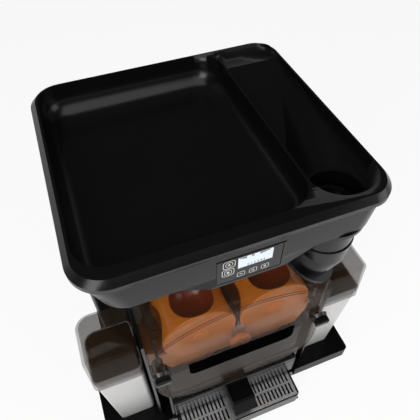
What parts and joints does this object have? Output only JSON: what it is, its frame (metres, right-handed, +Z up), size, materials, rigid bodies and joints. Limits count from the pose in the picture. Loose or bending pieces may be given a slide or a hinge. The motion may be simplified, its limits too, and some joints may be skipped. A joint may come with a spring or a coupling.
{
  "type": "automatic orange juicer",
  "caption": "Countertop orange juicer with a fruit hopper and feed lane, geared cup and ball press drums, clear front cover, side peel bins, juice tap and drip tray.",
  "frame": {"origin": "at counter level, in the middle of the machine's width and depth", "axes": "+Z up, -Y is the front with the cover and tap, +X is the right side seen from the front, where the feed lane is"},
  "size_m": [0.59, 0.516, 0.7],
  "materials": {
    "base_black": "satin black moulding",
    "hopper_black": "satin black moulding with a fine grain",
    "housing_black": "black powder coat",
    "rubber": "dull black rubber",
    "tray_black": "black moulding",
    "grille_steel": "brushed stainless sheet",
    "tap_black": "black-grey moulding",
    "pipe_plastic": "food grade plastic",
    "switch_black": "black moulding",
    "rocker_black": "black rocker",
    "frame_aluminium": "machined plate",
    "shaft_steel": "ground steel",
    "bearing_bronze": "sintered bronze",
    "gear_steel": "cut steel, oiled",
    "motor_grey": "grey enamel",
    "drum_amber": "amber orange moulding",
    "chamber_grey": "light grey food grade moulding",
    "sheet_steel": "satin stainless sheet",
    "blade_steel": "ground edge",
    "knob_orange": "orange moulding",
    "ejector_plastic": "orange moulding",
    "tank_grey": "light grey food grade moulding",
    "smoke_clear": "smoke-tinted clear moulding",
    "knob_black": "black grip",
    "panel_gloss": "black membrane",
    "screen_glass": "lit display window"
  },
  "bodies": {
    "machine": {"base_housing": "base_black", "wing_trays": "base_black", "front_ledge": "base_black", "hopper_skirt": "base_black", "rear_housing": "housing_black", "rear_cover": "housing_black", "rubber_feet": "rubber", "tap_body": "tap_black", "feed_elbow": "tap_black", "outlet_pipe": "pipe_plastic", "switch_frame": "switch_black", "power_inlet": "switch_black", "front_frame_plate": "frame_aluminium", "rear_frame_plate": "frame_aluminium", "frame_pillars": "shaft_steel", "shaft_bearings": "bearing_bronze", "drive_motor": "motor_grey", "splash_plate": "drum_amber", "juice_chamber": "chamber_grey", "cover_bosses": "chamber_grey", "knife_holder": "sheet_steel", "side_panel_left": "sheet_steel", "side_panel_right": "sheet_steel", "knife_blade": "blade_steel", "peel_ejector_left": "ejector_plastic", "peel_ejector_right": "ejector_plastic", "juice_tank": "tank_grey", "pulp_strainer": "tank_grey", "control_panel": "panel_gloss", "touch_keys": "panel_gloss", "display_window": "screen_glass"},
    "upper_left": {"upper_left_drum": "drum_amber", "upper_left_hub_cap": "drum_amber", "upper_left_shaft": "shaft_steel", "upper_left_gear": "gear_steel"},
    "upper_right": {"upper_right_drum": "drum_amber", "upper_right_hub_cap": "drum_amber", "upper_right_shaft": "shaft_steel", "upper_right_gear": "gear_steel"},
    "lower_left": {"lower_left_drum": "drum_amber", "lower_left_shaft": "shaft_steel", "lower_left_gear": "gear_steel"},
    "lower_right": {"lower_right_drum": "drum_amber", "lower_right_shaft": "shaft_steel", "lower_right_gear": "gear_steel"},
    "motor_rotor": {"motor_pinion": "gear_steel", "motor_shaft": "shaft_steel"},
    "cover": {"front_cover": "smoke_clear"},
    "left_cover_knob": {"cover_knob_left": "knob_black"},
    "right_cover_knob": {"cover_knob_right": "knob_black"},
    "knife_knob": {"centre_knob": "knob_orange"},
    "hopper": {"hopper_tray": "hopper_black"},
    "left_bin": {"peel_bin_left": "sheet_steel"},
    "right_bin": {"peel_bin_right": "sheet_steel"},
    "left_cap": {"bin_cap_left": "smoke_clear"},
    "right_cap": {"bin_cap_right": "smoke_clear"},
    "tray": {"drip_tray": "tray_black"},
    "grille": {"drip_grille": "grille_steel"},
    "lever": {"tap_lever": "tap_black"},
    "rocker": {"power_switch": "rocker_black"}
  },
  "joints": [
    {"name": "upper_left_drum_spin", "type": "hinge", "parent": "machine", "child": "upper_left", "pos_m": [-0.072, -0.1, 0.412], "axis": [0, 1, 0], "continuous": true},
    {"name": "upper_right_drum_spin", "type": "hinge", "parent": "machine", "child": "upper_right", "pos_m": [0.072, -0.1, 0.412], "axis": [0, 1, 0], "continuous": true},
    {"name": "lower_left_drum_spin", "type": "hinge", "parent": "machine", "child": "lower_left", "pos_m": [-0.072, -0.1, 0.304], "axis": [0, 1, 0], "continuous": true},
    {"name": "lower_right_drum_spin", "type": "hinge", "parent": "machine", "child": "lower_right", "pos_m": [0.072, -0.1, 0.304], "axis": [0, 1, 0], "continuous": true},
    {"name": "motor_spin", "type": "hinge", "parent": "machine", "child": "motor_rotor", "pos_m": [0.072, -0.1, 0.508], "axis": [0, 1, 0], "continuous": true},
    {"name": "cover_slide", "type": "slide", "parent": "machine", "child": "cover", "axis": [0, -0.9781, -0.2079], "range_m": [0, 0.1]},
    {"name": "left_cover_knob_turn", "type": "hinge", "parent": "cover", "child": "left_cover_knob", "pos_m": [-0.155, -0.212, 0.37], "axis": [0, 1, 0], "range_deg": [0, 90]},
    {"name": "right_cover_knob_turn", "type": "hinge", "parent": "cover", "child": "right_cover_knob", "pos_m": [0.155, -0.212, 0.37], "axis": [0, 1, 0], "range_deg": [0, 90]},
    {"name": "knife_knob_turn", "type": "hinge", "parent": "machine", "child": "knife_knob", "pos_m": [0, -0.195, 0.364], "axis": [0, 1, 0], "range_deg": [0, 90]},
    {"name": "hopper_lift", "type": "slide", "parent": "machine", "child": "hopper", "axis": [0, 0, 1], "range_m": [0, 0.12]},
    {"name": "left_bin_pull", "type": "slide", "parent": "machine", "child": "left_bin", "axis": [-1, 0, 0], "range_m": [0, 0.1]},
    {"name": "right_bin_pull", "type": "slide", "parent": "machine", "child": "right_bin", "axis": [1, 0, 0], "range_m": [0, 0.1]},
    {"name": "left_cap_lift", "type": "slide", "parent": "left_bin", "child": "left_cap", "axis": [0, 0, 1], "range_m": [0, 0.04]},
    {"name": "right_cap_lift", "type": "slide", "parent": "right_bin", "child": "right_cap", "axis": [0, 0, 1], "range_m": [0, 0.04]},
    {"name": "tray_pull", "type": "slide", "parent": "machine", "child": "tray", "axis": [0, -1, 0], "range_m": [0, 0.06]},
    {"name": "grille_lift", "type": "slide", "parent": "tray", "child": "grille", "axis": [0, 0, 1], "range_m": [0, 0.01]},
    {"name": "tap_lever_pull", "type": "hinge", "parent": "machine", "child": "lever", "pos_m": [0, -0.2396, 0.152], "axis": [1, 0, 0], "range_deg": [-25, 0]},
    {"name": "power_switch_rock", "type": "hinge", "parent": "machine", "child": "rocker", "pos_m": [-0.165, 0.252, 0.15], "axis": [1, 0, 0], "range_deg": [0, 7]}
  ],
  "couplings": [
    {"joint": "upper_right_drum_spin", "follows": "upper_left_drum_spin", "ratio": -1},
    {"joint": "lower_left_drum_spin", "follows": "upper_left_drum_spin", "ratio": -2},
    {"joint": "lower_right_drum_spin", "follows": "upper_left_drum_spin", "ratio": 2},
    {"joint": "motor_spin", "follows": "upper_left_drum_spin", "ratio": 3}
  ]
}
